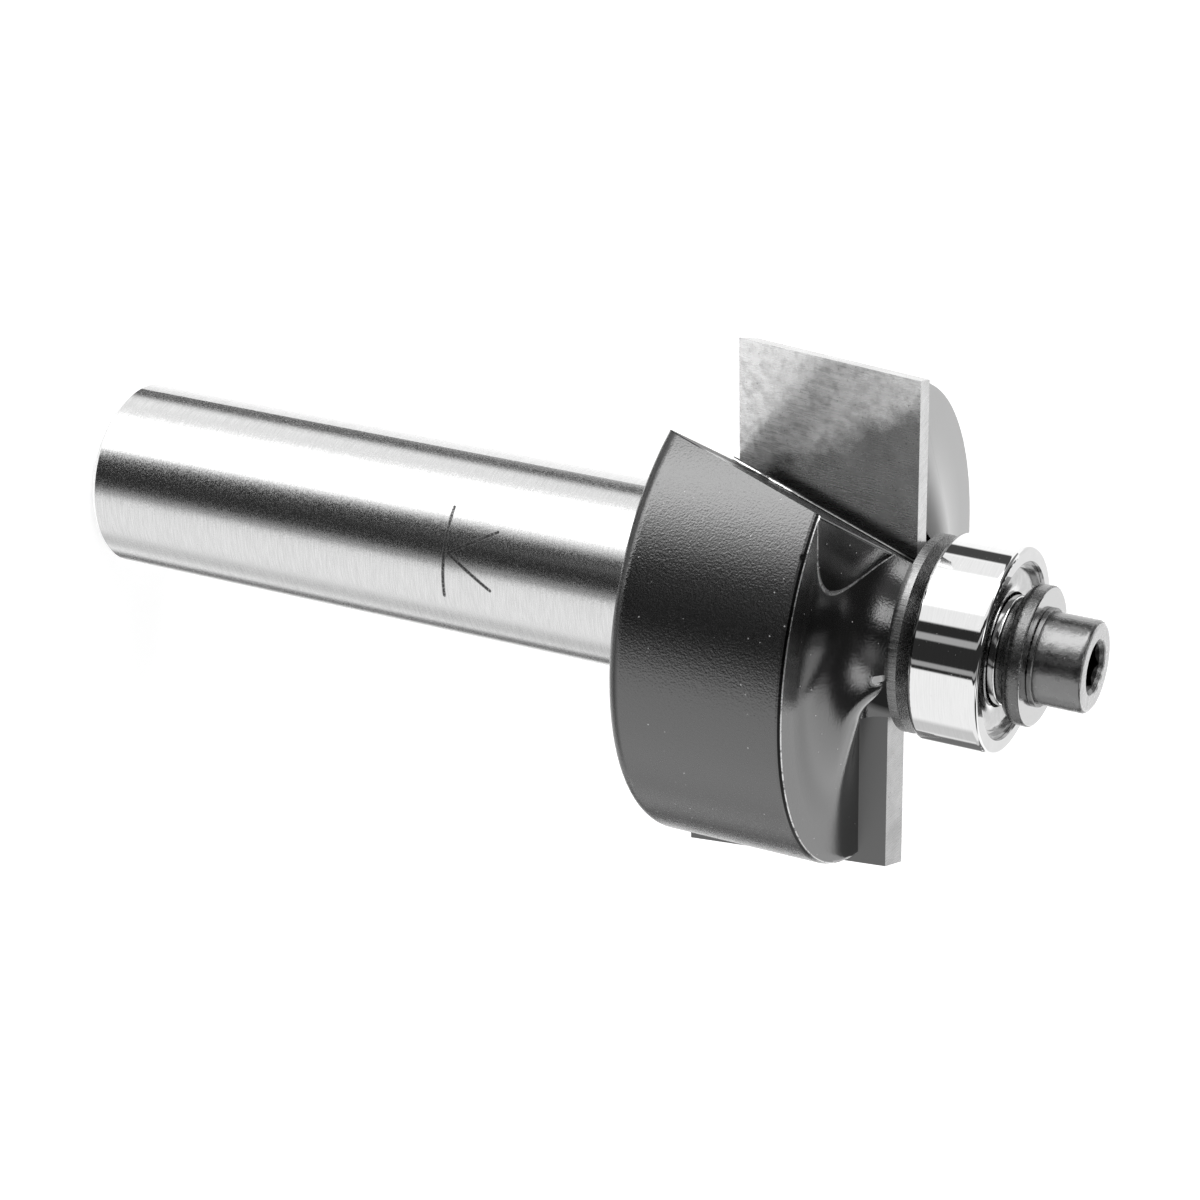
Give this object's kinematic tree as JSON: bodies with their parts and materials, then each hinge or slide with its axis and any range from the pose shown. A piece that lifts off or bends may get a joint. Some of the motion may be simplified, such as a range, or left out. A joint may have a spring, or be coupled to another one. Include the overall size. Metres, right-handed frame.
{
  "type": "router bit",
  "caption": "Rabbeting router bit with a straight shank, a coated head with sheared carbide tips, and a ball bearing guide held on by a cap screw.",
  "frame": {"origin": "centre of the shank's flat end, which is the middle of the bottom of the whole bit", "axes": "+Z along the tool axis from the shank end to the screw head; +X through the front outer corner of the first carbide tip"},
  "size_m": [0.0318, 0.0296, 0.067],
  "materials": {
    "ground_steel": "ground, with a black coated head",
    "carbide": "ground",
    "black_oxide": "satin black oxide",
    "bearing_steel": "polished",
    "shield_steel": "rolled sheet",
    "spring_steel": "drawn wire",
    "cage_nylon": "moulded"
  },
  "bodies": {
    "tool": {"tool_body": "ground_steel", "carbide_tip_a": "carbide", "carbide_tip_b": "carbide", "rear_washer": "black_oxide", "spacer_ring": "black_oxide", "bearing_inner_ring": "bearing_steel", "flange_washer": "black_oxide", "shim_washer": "black_oxide", "cap_screw": "black_oxide"},
    "outer_ring": {"bearing_outer_ring": "bearing_steel", "shield_front": "shield_steel", "shield_rear": "shield_steel", "snap_ring_front": "spring_steel", "snap_ring_rear": "spring_steel"},
    "ball_set": {"ball_cage": "cage_nylon", "ball_1": "bearing_steel", "ball_2": "bearing_steel", "ball_3": "bearing_steel", "ball_4": "bearing_steel", "ball_5": "bearing_steel", "ball_6": "bearing_steel", "ball_7": "bearing_steel", "ball_8": "bearing_steel"}
  },
  "joints": [
    {"name": "outer_ring_spin", "type": "hinge", "parent": "tool", "child": "outer_ring", "pos_m": [0, 0, 0.05978], "axis": [0, 0, 1], "continuous": true},
    {"name": "ball_set_spin", "type": "hinge", "parent": "tool", "child": "ball_set", "pos_m": [0, 0, 0.05978], "axis": [0, 0, 1], "continuous": true}
  ],
  "couplings": [
    {"joint": "ball_set_spin", "follows": "outer_ring_spin", "ratio": 0.625}
  ]
}
